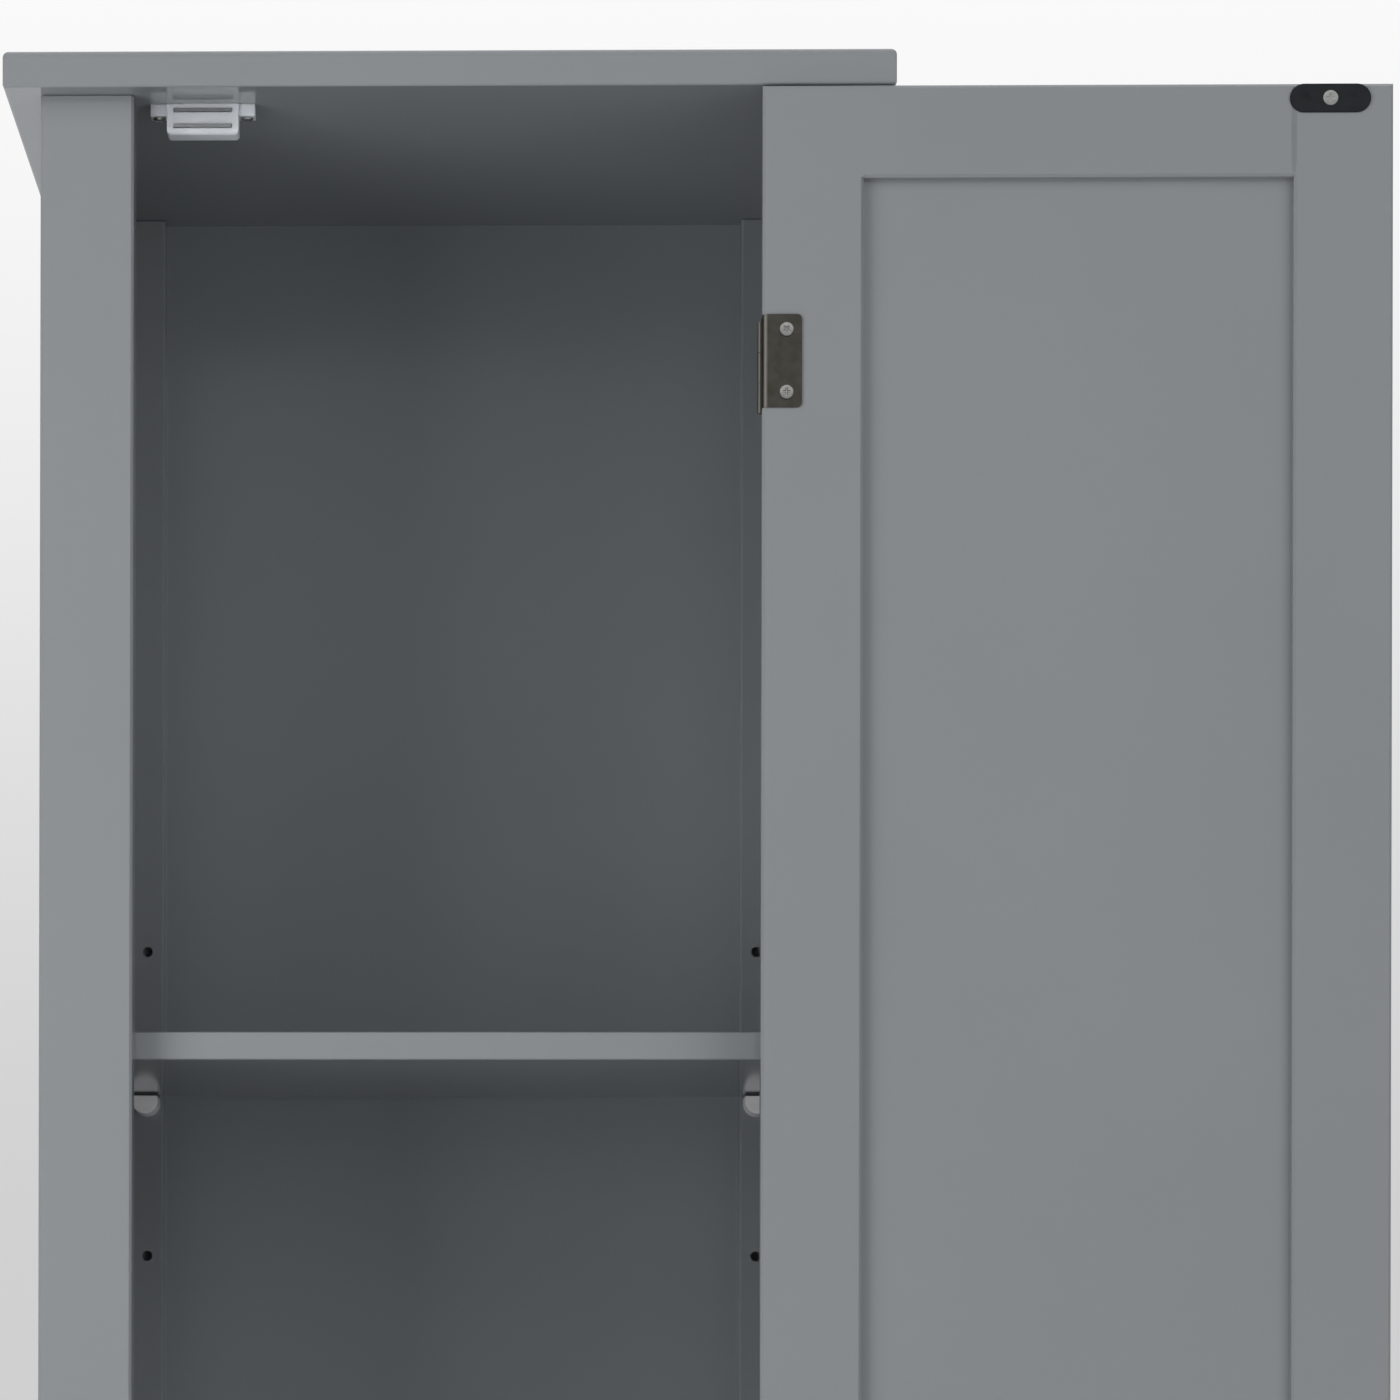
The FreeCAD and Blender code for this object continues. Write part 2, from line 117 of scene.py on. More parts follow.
@dataclass(frozen=True)
class Finish:
    """Surface of one real material: two close tones, a gloss range and a fine relief.

    Attributes:
        name: what the material is and how its surface was made.
        tone: main colour.
        second_tone: colour of the blotches.
        blotch_mm: width of a blotch.
        roughness: lowest and highest roughness.
        relief_mm: width of one bump of the fine relief.
        relief_depth_mm: height of the relief.
        ior: index of refraction of a coat of paint or of plastic.
        metallic: 1 for a bare or plated metal.
        stretch: factors on X, Y and Z that draw the relief out into lines.
        contrast: how sharply the two tones part.
        painted_highlight_tone: pale metal tone painted on bends and rounded edges as a highlight, in place of
            their reflections, or empty.
        highlight_free_line_mm: X and Y of an upright line round which no highlight is painted.
        highlight_free_reach_mm: reach of that highlight-free zone.
        scatter_mm: how far light travels inside a pale plastic, or 0.
        relief_detail: octaves of the relief's noise.
        blotch_detail: octaves of the blotches' noise.
        grain_range: values of the relief's noise that get the lowest and the highest roughness.
        blotch_spread: reach of the noise either side of its middle over which the tones mix.
        flat_part: largest part of a normal, above which a face is flat and gets no painted highlight.
        bent_part: largest part of a normal, below which a bend gets the most painted highlight.
        painted_highlight_share: share of the painted highlight tone where a bend gets the most of it.
    """

    name: str
    tone: str
    second_tone: str
    blotch_mm: float
    roughness: tuple[float, float]
    relief_mm: float
    relief_depth_mm: float
    ior: float = 1.5
    metallic: float = 0.0
    stretch: tuple[float, float, float] = (1.0, 1.0, 1.0)
    contrast: float = 1.0
    painted_highlight_tone: str = ""
    highlight_free_line_mm: tuple[float, float] = (0.0, 0.0)
    highlight_free_reach_mm: float = 0.0
    scatter_mm: float = 0.0
    relief_detail: float = 2.0
    blotch_detail: float = 3.0
    grain_range: tuple[float, float] = (0.3, 0.7)
    blotch_spread: float = 0.25
    flat_part: float = 0.985
    bent_part: float = 0.86
    painted_highlight_share: float = 0.85

    def material(self) -> bpy.types.Material:
        """Give the finish's material, made on first use."""
        made = bpy.data.materials.get(self.name)
        return made if made else self.build()

    def build(self) -> bpy.types.Material:
        """Make the node tree: blotched colour, uneven gloss and a fine bump on object coordinates.

        Returns:
            The new material.
        """
        made = bpy.data.materials.new(self.name)
        made.use_nodes = True
        tree = made.node_tree
        tree.nodes.clear()
        place = add_node(tree, "ShaderNodeTexCoord").outputs["Object"]
        drawn = add_node(tree, "ShaderNodeMapping",
                         {"Vector": place, "Scale": self.stretch}).outputs["Vector"]
        grain = add_node(tree, "ShaderNodeTexNoise", {"Vector": drawn, "Scale": 1 / (self.relief_mm * MM),
                                                      "Detail": self.relief_detail}).outputs["Fac"]
        faint, strong = self.grain_range
        low, high = self.roughness
        gloss = add_node(tree, "ShaderNodeMapRange", {"Value": grain, "From Min": faint, "From Max": strong,
                                                      "To Min": low, "To Max": high}).outputs["Result"]
        bump = add_node(tree, "ShaderNodeBump", {"Height": grain, "Strength": 1.0,
                                                 "Distance": self.relief_depth_mm * MM}).outputs["Normal"]
        inputs = {"Base Color": self.colour(tree, place), "Roughness": gloss, "Normal": bump,
                  "Metallic": self.metallic}
        if not self.metallic:
            inputs["IOR"] = self.ior
        if self.scatter_mm:
            inputs |= {"Subsurface Weight": 1.0, "Subsurface Scale": self.scatter_mm * MM,
                       "Subsurface Radius": (1.0, 1.0, 1.0)}
        shader = add_node(tree, "ShaderNodeBsdfPrincipled", inputs).outputs["BSDF"]
        add_node(tree, "ShaderNodeOutputMaterial", {"Surface": shader})
        return made

    def colour(self, tree: bpy.types.NodeTree, place: bpy.types.NodeSocket) -> bpy.types.NodeSocket:
        """Mix the two tones in soft blotches, and paint a highlight in a pale metal tone on bends.

        Args:
            tree: tree that gets the nodes.
            place: object coordinates in metres.

        Returns:
            The socket with the finished colour.
        """
        blotches = add_node(tree, "ShaderNodeTexNoise", {"Vector": place, "Scale": 1 / (self.blotch_mm * MM),
                                                         "Detail": self.blotch_detail}).outputs["Fac"]
        spread = self.blotch_spread / self.contrast
        share = add_node(tree, "ShaderNodeMapRange", {"Value": blotches, "From Min": 0.5 - spread,
                                                      "From Max": 0.5 + spread}).outputs["Result"]
        mixed = add_node(tree, "ShaderNodeMix", {"Factor": share, MIX_FIRST: linear(self.tone),
                                                 MIX_SECOND: linear(self.second_tone)},
                         data_type="RGBA").outputs[MIX_RESULT]
        if not self.painted_highlight_tone:
            return mixed
        # A flat face looks along one axis, a bend between two, so its normal's largest part is below 1.
        normal = add_node(tree, "ShaderNodeTexCoord").outputs["Normal"]
        parts = add_node(tree, "ShaderNodeVectorMath", {0: normal}, operation="ABSOLUTE").outputs[0]
        split = add_node(tree, "ShaderNodeSeparateXYZ", {"Vector": parts}).outputs
        flat = add_node(tree, "ShaderNodeMath", {0: split[0], 1: split[1]}, operation="MAXIMUM").outputs[0]
        flat = add_node(tree, "ShaderNodeMath", {0: flat, 1: split[2]}, operation="MAXIMUM").outputs[0]
        # Painted highlight: a pale metal tone on bends and rounded edges that stands in for their
        # reflections.
        highlight_mask = add_node(tree, "ShaderNodeMapRange", {"Value": flat, "From Min": self.flat_part,
                                                       "From Max": self.bent_part,
                                                       "To Max": self.painted_highlight_share}).outputs["Result"]
        # No highlight is painted within reach of one upright line.
        line = [distance * MM for distance in self.highlight_free_line_mm]
        level = add_node(tree, "ShaderNodeVectorMath", {0: place, 1: (1.0, 1.0, 0.0)},
                         operation="MULTIPLY").outputs[0]
        away = add_node(tree, "ShaderNodeVectorMath", {0: level, 1: (*line, 0.0)},
                        operation="DISTANCE").outputs["Value"]
        highlight_allowed = add_node(tree, "ShaderNodeMath", {0: away, 1: self.highlight_free_reach_mm * MM},
                            operation="GREATER_THAN").outputs[0]
        highlight_mask = add_node(tree, "ShaderNodeMath", {0: highlight_mask, 1: highlight_allowed}, operation="MULTIPLY").outputs[0]
        return add_node(tree, "ShaderNodeMix", {"Factor": highlight_mask, MIX_FIRST: mixed,
                                                MIX_SECOND: linear(self.painted_highlight_tone)},
                        data_type="RGBA").outputs[MIX_RESULT]


@dataclass(frozen=True)
class StudioFloor(Finish):
    """Matt pale floor that keeps the object's shadow, looks even in reflections and fades into the backdrop.

    Attributes:
        reflected_tone: colour of the floor in reflections.
        reflected: brightness of the floor in reflections.
        fade_start: distance from the origin where the fading starts.
        fade_end: distance where the floor has the backdrop's colour.
    """

    reflected_tone: str = "#F2F4F6"
    reflected: float = 0.74
    fade_start: float = 0.8
    fade_end: float = 3.0

    def build(self) -> bpy.types.Material:
        """Add the even reflection and the fading to the plain finish.

        Returns:
            The new material.
        """
        made = super().build()
        tree = made.node_tree
        shader = next(node for node in tree.nodes if node.type == "BSDF_PRINCIPLED").outputs["BSDF"]
        output = next(node for node in tree.nodes if node.type == "OUTPUT_MATERIAL")
        path = add_node(tree, "ShaderNodeLightPath").outputs
        seen = add_node(tree, "ShaderNodeMath", {0: path["Is Glossy Ray"], 1: path["Is Transmission Ray"]},
                        operation="MAXIMUM").outputs[0]
        even = add_node(tree, "ShaderNodeEmission", {"Color": linear(self.reflected_tone),
                                                     "Strength": self.reflected}).outputs[0]
        mixed = add_node(tree, "ShaderNodeMixShader", {"Fac": seen, 1: shader, 2: even}).outputs[0]
        place = add_node(tree, "ShaderNodeTexCoord").outputs["Object"]
        away = add_node(tree, "ShaderNodeVectorMath", {0: place}, operation="LENGTH").outputs["Value"]
        far = add_node(tree, "ShaderNodeMapRange", {"Value": away, "From Min": self.fade_start,
                                                    "From Max": self.fade_end},
                       interpolation_type="SMOOTHSTEP").outputs["Result"]
        shown = add_node(tree, "ShaderNodeMath", {0: far, 1: path["Is Camera Ray"]},
                         operation="MULTIPLY").outputs[0]
        backdrop = add_node(tree, "ShaderNodeEmission",
                            {"Color": linear(HORIZON), "Strength": 1.0}).outputs[0]
        faded = add_node(tree, "ShaderNodeMixShader", {"Fac": shown, 1: mixed, 2: backdrop}).outputs[0]
        tree.links.new(faded, output.inputs["Surface"])
        return made


# Sprayed semi-gloss lacquer on fibreboard: an even blue-grey whose sheen has a faint orange-peel.
LACQUER = Finish("sprayed_lacquer_on_fibreboard", "#84888B", "#818588", blotch_mm=160.0,
                 roughness=(0.08, 0.12), relief_mm=2.5, relief_depth_mm=0.0015)
# The same lacquer rolled on the thin back board: a little flatter and more uneven.
ROLLED_LACQUER = Finish("rolled_lacquer_on_hardboard", "#82888C", "#7F8589", blotch_mm=140.0,
                        roughness=(0.18, 0.24), relief_mm=3.0, relief_depth_mm=0.001, ior=1.4)
# Lacquer in the butt joint between door rail and stile: a faint line, whose darker tone is painted shade of
# the hairline.
PAINTED_JOINT_SHADE = Finish("painted_shade_in_butt_joint", "#787C7F", "#727679", blotch_mm=12.0,
                       roughness=(0.30, 0.45), relief_mm=1.0, relief_depth_mm=0.004)
# Antique bronze plating on pressed steel: dark brown clouds, with a highlight painted in pale grey metal on
# the bends and along the left side of the barrels. The rest of the barrels gets no painted highlight, near
# one upright line at the right post, so it stays dark.
BRONZE = Finish("antique_bronze_plated_steel", "#44423B", "#54524C", blotch_mm=5.0, roughness=(0.30, 0.42),
                relief_mm=0.7, relief_depth_mm=0.005, metallic=1.0, painted_highlight_tone="#96938C",
                highlight_free_line_mm=(141.15, -143.5), highlight_free_reach_mm=1.95)
# The same plating on the turned knobs, handled all over: lighter clouds and a soft shine.
KNOB_BRONZE = Finish("antique_bronze_plated_zinc", "#454138", "#625D50", blotch_mm=6.0,
                     roughness=(0.26, 0.38), relief_mm=0.8, relief_depth_mm=0.004, metallic=1.0,
                     contrast=1.2)
# Zinc and clear passivation on small screws: pale metal, a little clouded.
SCREW_ZINC = Finish("zinc_plated_screw_steel", "#AEAEAB", "#91918F", blotch_mm=1.4, roughness=(0.26, 0.40),
                    relief_mm=0.5, relief_depth_mm=0.004, metallic=1.0)
# Moulded white nylon of the shelf pegs: pale, with a soft shine.
PEG_NYLON = Finish("moulded_white_nylon", "#F3F2F3", "#EDECEE", blotch_mm=6.0, roughness=(0.28, 0.38),
                   relief_mm=0.6, relief_depth_mm=0.003)
# Soft black rubber under the shelf's corners: dark and matt, faintly mottled.
PAD_RUBBER = Finish("soft_black_rubber", "#2A2C2E", "#333537", blotch_mm=3.0, roughness=(0.60, 0.75),
                    relief_mm=0.8, relief_depth_mm=0.006)
# Zinc on plain sheet: dull grey with rolling lines along X.
ZINC = Finish("zinc_plated_sheet", "#B4B7BA", "#A2A5A8", blotch_mm=4.0, roughness=(0.34, 0.48),
              relief_mm=0.6, relief_depth_mm=0.004, metallic=1.0, stretch=(0.06, 1.0, 1.0))
# Black electrocoat on pressed steel: satin, with a fine even grain, drawn coarser than life so that it shows.
BLACK_COAT = Finish("black_electrocoat_on_steel", "#181A1D", "#202225", blotch_mm=5.0,
                    roughness=(0.34, 0.46), relief_mm=0.6, relief_depth_mm=0.005, ior=1.25)
# Injection-moulded ABS in light grey: a soft sheen, and light that bleeds round its edges. Its spark-eroded
# grain is drawn coarser than life so that it shows.
LIGHT_ABS = Finish("moulded_light_grey_abs", "#DADEE4", "#D2D7DD", blotch_mm=9.0, roughness=(0.28, 0.38),
                   relief_mm=0.5, relief_depth_mm=0.004, scatter_mm=3.0)
# Hard dark plastic of the floor pads, scuffed by moving.
GLIDE_PLASTIC = Finish("scuffed_dark_polypropylene", "#2C2D2F", "#3B3C3E", blotch_mm=7.0,
                       roughness=(0.45, 0.62), relief_mm=0.8, relief_depth_mm=0.015)
# Sintered ferrite magnet: dark, matt and slightly grainy.
FERRITE = Finish("sintered_ferrite", "#343436", "#414143", blotch_mm=2.0, roughness=(0.55, 0.72),
                 relief_mm=0.5, relief_depth_mm=0.012)
# Seamless studio floor, matt and nearly white.
FLOOR = StudioFloor("matt_studio_floor", "#E6E6E5", "#E2E2E1", blotch_mm=400.0, roughness=(0.75, 0.85),
                    relief_mm=3.0, relief_depth_mm=0.01)


def dress(node: str, finish: Finish) -> None:
    """Give a CAD node one finish.

    Args:
        node: name of the node.
        finish: finish that it gets.
    """
    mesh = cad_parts[node].data
    mesh.materials.clear()
    mesh.materials.append(finish.material())
    LOG.info("dressed %s in %s", node, finish.name)


def quads(rows: int, columns: int) -> np.ndarray:
    """Number the corners of every four-sided face of a grid that closes round its columns.

    Args:
        rows: points along the profile.
        columns: points round the path.

    Returns:
        An array with one row of four corner numbers per face.
    """
    row = np.arange(rows - 1)[:, None] * columns
    column = np.arange(columns)[None, :]
    after = (column + 1) % columns
    faces = np.stack([row + column, row + after, row + columns + after, row + columns + column], axis=-1)
    return faces.reshape(-1, 4)


def surface(name: str, grids: list[np.ndarray], finish: Finish, body: str) -> bpy.types.Object:
    """Make one piece from grids of points, each closed round its columns.

    Args:
        name: name of the piece.
        grids: arrays of shape (rows, columns, 3), in metres in the part's frame.
        finish: finish of the piece.
        body: CAD body that it moves with.

    Returns:
        The new object, with poles merged and faces pointing outwards.
    """
    points, faces, start = [], [], 0
    for grid in grids:
        points.append(grid.reshape(-1, 3))
        faces.append(quads(*grid.shape[:2]) + start)
        start += grid.shape[0] * grid.shape[1]
    mesh = bpy.data.meshes.new(name)
    mesh.from_pydata(np.concatenate(points), [], np.concatenate(faces).tolist())
    welded = bmesh.new()
    welded.from_mesh(mesh)
    bmesh.ops.remove_doubles(welded, verts=welded.verts, dist=WELD_DISTANCE)
    bmesh.ops.recalc_face_normals(welded, faces=welded.faces)
    welded.to_mesh(mesh)
    welded.free()
    mesh.shade_smooth()
    mesh.set_sharp_from_angle(angle=SHARP_ANGLE)
    mesh.materials.append(finish.material())
    piece = bpy.data.objects.new(name, mesh)
    bpy.context.scene.collection.objects.link(piece)
    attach(piece, body)
    LOG.info("built %s on %s", name, body)
    return piece


def set_on(grid: np.ndarray, foot: Vector, outward: Vector) -> np.ndarray:
    """Carry a grid made about the Z axis to its place.

    Args:
        grid: points with Z pointing away from what carries the piece.
        foot: point of the part's frame where the grid's origin goes.
        outward: unit direction of the grid's Z axis, along X, Y or Z of the part's frame.

    Returns:
        The grid in the part's frame.
    """
    turn = outward.to_track_quat("Z", "Y").to_matrix()
    return grid @ np.array(turn).T + np.array(foot)


def turned(radius: np.ndarray, height: np.ndarray, columns: int) -> np.ndarray:
    """Carry a profile once round the Z axis: x = r cos a, y = r sin a, z = h.

    Args:
        radius: distances from the axis along the profile.
        height: heights along the profile.
        columns: points round the axis.

    Returns:
        A grid of shape (profile points, columns, 3).
    """
    angle = np.linspace(0, 2 * np.pi, columns, endpoint=False)
    x = radius[:, None] * np.cos(angle)
    y = radius[:, None] * np.sin(angle)
    return np.stack([x, y, np.broadcast_to(height[:, None], x.shape)], axis=-1)


@dataclass
class CrossScrew:
    """Head of a small screw with a cross recess.

    Attributes:
        radius: radius of the head.
        height: height of the domed head.
        rim_share: share of the height that is a straight rim.
        recess_reach_share: reach of the recess's arms, as a share of the radius.
        recess_width_share: half width of an arm, as a share of the radius.
        recess_depth_share: depth at the centre, as a share of the height.
        wall_softness: width of the recess's sloping walls, as a share of the radius.
        arm_end: place on an arm where its depth runs out, as a share of the reach.
        arm_slope: how fast the depth runs out towards that place.
        dome_power: power of the radius share by which the dome falls.
        ring_power: power below 1 that draws the rings together towards the rim.
        rings: points from rim to centre.
        columns: points round the head.
    """

    radius: float
    height: float
    rim_share: float = 0.35
    recess_reach_share: float = 0.56
    recess_width_share: float = 0.13
    recess_depth_share: float = 0.4
    wall_softness: float = 0.09
    arm_end: float = 1.15
    arm_slope: float = 2.2
    dome_power: int = 3
    ring_power: float = 0.8
    rings: int = 22
    columns: int = 72

    def grid(self, turn: float) -> np.ndarray:
        """Work out the head about Z, with its cross turned by an angle.

        The dome's height falls from the top with the square root of one less a power of the radius share.
        The recess is a cross of two bars, each with soft walls, whose depth shrinks towards the arms' ends.

        Args:
            turn: angle of the cross.

        Returns:
            The grid of the head, from the foot of its rim to the centre.
        """
        share = np.concatenate([[1.0], np.linspace(1, 0, self.rings) ** self.ring_power])
        rim = self.height * self.rim_share
        height = rim + (self.height - rim) * np.sqrt(np.clip(1 - share ** self.dome_power, 0, 1))
        height[0] = 0.0
        head = turned(share * self.radius, height, self.columns)
        x = (head[..., 0] * math.cos(turn) + head[..., 1] * math.sin(turn)) / self.radius
        y = (head[..., 1] * math.cos(turn) - head[..., 0] * math.sin(turn)) / self.radius
        depth = np.maximum(self.arm(x, y), self.arm(y, x))
        head[..., 2] -= depth * self.recess_depth_share * self.height
        return head

    def arm(self, along: np.ndarray, across: np.ndarray) -> np.ndarray:
        """Depth share of one bar of the cross, from its middle line outwards.

        Args:
            along: distance along the bar as a share of the radius.
            across: distance from the bar's middle line as a share of the radius.

        Returns:
            1 at the centre, falling to 0 at the walls and the ends.
        """
        wall = np.clip((self.recess_width_share - np.abs(across)) / self.wall_softness + 0.5, 0, 1)
        taper = np.clip(self.arm_end - np.abs(along) / self.recess_reach_share, 0, 1)
        return wall * np.minimum(1, taper * self.arm_slope)


def screw_set(name: str, head: CrossScrew, feet: list[Vector], outward: Vector, body: str) -> None:
    """Set one kind of screw head at several places as one piece.

    Args:
        name: name of the piece.
        head: the screw head.
        feet: points under the heads, in the part's frame.
        outward: direction that the heads point.
        body: CAD body that carries them.
    """
    grids = [set_on(head.grid(GOLDEN_TURN * number), foot, outward) for number, foot in enumerate(feet)]
    surface(name, grids, SCREW_ZINC, body)


@dataclass
class ShelfPeg:
    """Nylon peg with a round pin and a long head, round below and flat on top.

    Attributes:
        pin_radius: radius of the pin.
        pin_length: depth of the pin in the post.
        pin_bevel: taper of the pin's tip.
        head_radius: radius of the head.
        head_length: reach of the head out of the post.
        flat_height: height of the flat over the pin's axis.
        rim: rounding of the head's rim.
        rim_points: points over the rim.
        face_points: points from the rim to the middle of the head's face.
        columns: points round the peg.
    """

    pin_radius: float = 2.45 * MM
    pin_length: float = 10 * MM
    pin_bevel: float = 0.5 * MM
    head_radius: float = 6.3 * MM
    head_length: float = 24 * MM
    flat_height: float = 2.5 * MM
    rim: float = 0.7 * MM
    rim_points: int = 8
    face_points: int = 8
    columns: int = 144

    def grid(self) -> np.ndarray:
        """Work out the peg about Z with its flat towards Y, from the pin's tip to the middle of its face.

        The pin's outline is a circle. The head's outline is a circle below its axis and a box above it: for
        each angle there, the smaller of the distances to the straight side and to the flat. It shrinks by a
        quarter circle over the rim.

        Returns:
            The grid of the peg, whose head starts at height 0.
        """
        angle = np.linspace(0, 2 * np.pi, self.columns, endpoint=False)
        side = self.head_radius / np.maximum(np.abs(np.cos(angle)), TINY)
        flat = self.flat_height / np.maximum(np.sin(angle), TINY)
        outline = np.where(np.sin(angle) < 0, self.head_radius, np.minimum(side, flat))
        tip = self.pin_radius - self.pin_bevel
        pin = np.array([0.0, tip, self.pin_radius, self.pin_radius])[:, None] * np.ones(self.columns)
        pin_height = np.array([-self.pin_length, -self.pin_length, self.pin_bevel - self.pin_length, 0.0])
        sweep = np.linspace(0, np.pi / 2, self.rim_points)
        face = np.linspace(1, 0, self.face_points + 1)[1:]
        rim_share = 1 - self.rim / self.head_radius * (1 - np.cos(sweep))
        share = np.concatenate([[1.0], rim_share, rim_share[-1] * face])
        rim_height = self.head_length - self.rim * (1 - np.sin(sweep))
        head_height = np.concatenate([[0.0], rim_height, np.full(self.face_points, self.head_length)])
        radius = np.concatenate([pin, share[:, None] * outline])
        height = np.concatenate([pin_height, head_height])[:, None] * np.ones(self.columns)
        return np.stack([radius * np.cos(angle), radius * np.sin(angle), height], axis=-1)


@dataclass
class Carcass:
    """Posts, boards and panels that stand on the floor.

    Attributes:
        boards: lacquered nodes.
        back_screws_per_side: screws up each edge of the back panel.
        back_screw_end: distance of the first and last screw from the panel's ends.
        back_screw_edge: distance of the screws from the panel's long edges.
        back_head: head of these screws.
    """

    boards: tuple[str, ...] = (
        "top_panel", "front_left_post", "front_right_post", "rear_left_post", "rear_right_post",
        "left_side_panel", "right_side_panel", "middle_board", "bottom_board", "front_base_rail",
        "rear_base_rail")
    back_screws_per_side: int = 6
    back_screw_end: float = 60 * MM
    back_screw_edge: float = 4.2 * MM
    back_head: CrossScrew = field(default_factory=lambda: CrossScrew(radius=3.0 * MM, height=0.8 * MM))

    def build(self) -> None:
        """Dress the boards and screw the back panel on."""
        for node in self.boards:
            dress(node, LACQUER)
        dress("back_panel", ROLLED_LACQUER)
        dress("floor_glides", GLIDE_PLASTIC)
        low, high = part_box("back_panel")
        heights = np.linspace(low.z + self.back_screw_end, high.z - self.back_screw_end,
                              self.back_screws_per_side)
        feet = [Vector((x, high.y, z)) for x in (low.x + self.back_screw_edge, high.x - self.back_screw_edge)
                for z in heights]
        screw_set("back_panel_screw_heads", self.back_head, feet, Vector((0, 1, 0)), "cabinet")


@dataclass
class Space:
    """Shelf, pegs, catch and fixed hinge halves of one of the two spaces.

    Attributes:
        name: upper or lower.
        ear_middle: distance of a catch screw from the end of its ear.
        ear_screw_depth: distance of a catch screw behind the catch's front.
        ear_height: height of the ears below the board.
        ear_head: head of the catch's screws.
        leaf_screw_pitch: distance between the two screws of a leaf.
        leaf_screw_edge: distance of a frame leaf's screws from its rear edge.
        leaf_sheet: thickness of a frame leaf.
        leaf_head: flush head of a frame leaf's screws.
        peg: peg that carries a corner of the shelf.
    """

    name: str
    ear_middle: float = 3.7 * MM
    ear_screw_depth: float = 6.0 * MM
    ear_height: float = 5.3 * MM
    ear_head: CrossScrew = field(default_factory=lambda: CrossScrew(radius=2.7 * MM, height=1.5 * MM))
    leaf_screw_pitch: float = 28 * MM
    leaf_screw_edge: float = 7.5 * MM
    leaf_sheet: float = 0.9 * MM
    leaf_head: CrossScrew = field(default_factory=lambda: CrossScrew(
        radius=2.8 * MM, height=0.4 * MM, rim_share=0.1))
    peg: ShelfPeg = field(default_factory=ShelfPeg)

    def build(self) -> None:
        """Dress the fittings of the space and add their screws."""
        dress(self.name + "_shelf", LACQUER)
        self.push_in_pegs()
        dress(self.name + "_shelf_peg_pads", PAD_RUBBER)
        dress(self.name + "_catch_housing", LIGHT_ABS)
        dress(self.name + "_catch_pole_plates", ZINC)
        dress(self.name + "_catch_magnet", FERRITE)
        self.screw_catch()
        for end in ("top", "bottom"):
            dress(f"{self.name}_{end}_frame_leaf", BRONZE)
        self.screw_frame_leaves()

    def push_in_pegs(self) -> None:
        """Put a turned peg at each corner of the shelf in place of the plain ones."""
        node = self.name + "_shelf_pegs"
        low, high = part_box(node)
        z = low.z + self.peg.head_radius
        grids = []
        for x in (low.x + self.peg.head_radius, high.x - self.peg.head_radius):
            for y, way in ((low.y + self.peg.pin_length, 1), (high.y - self.peg.pin_length, -1)):
                grids.append(set_on(self.peg.grid(), Vector((x, y, z)), Vector((0, way, 0))))
        pegs = surface(self.name + "_shelf_pegs_turned", grids, PEG_NYLON, "cabinet")
        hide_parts(node)

    def screw_catch(self) -> None:
        """Put a screw head under each ear of the catch."""
        low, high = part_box(self.name + "_catch_housing")
        y, z = low.y + self.ear_screw_depth, high.z - self.ear_height
        feet = [Vector((x, y, z)) for x in (low.x + self.ear_middle, high.x - self.ear_middle)]
        screw_set(self.name + "_catch_screw_heads", self.ear_head, feet, Vector((0, 0, -1)), "cabinet")

    def screw_frame_leaves(self) -> None:
        """Put two flush screw heads on each frame leaf."""
        feet = []
        for end in ("top", "bottom"):
            low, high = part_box(f"{self.name}_{end}_frame_leaf")
            face, row = high.x - self.leaf_sheet, high.y - self.leaf_screw_edge
            middle = (low.z + high.z) / 2
            feet += [Vector((face, row, middle + step * self.leaf_screw_pitch)) for step in (-0.5, 0.5)]
        screw_set(self.name + "_frame_leaf_screw_heads", self.leaf_head, feet, Vector((-1, 0, 0)), "cabinet")


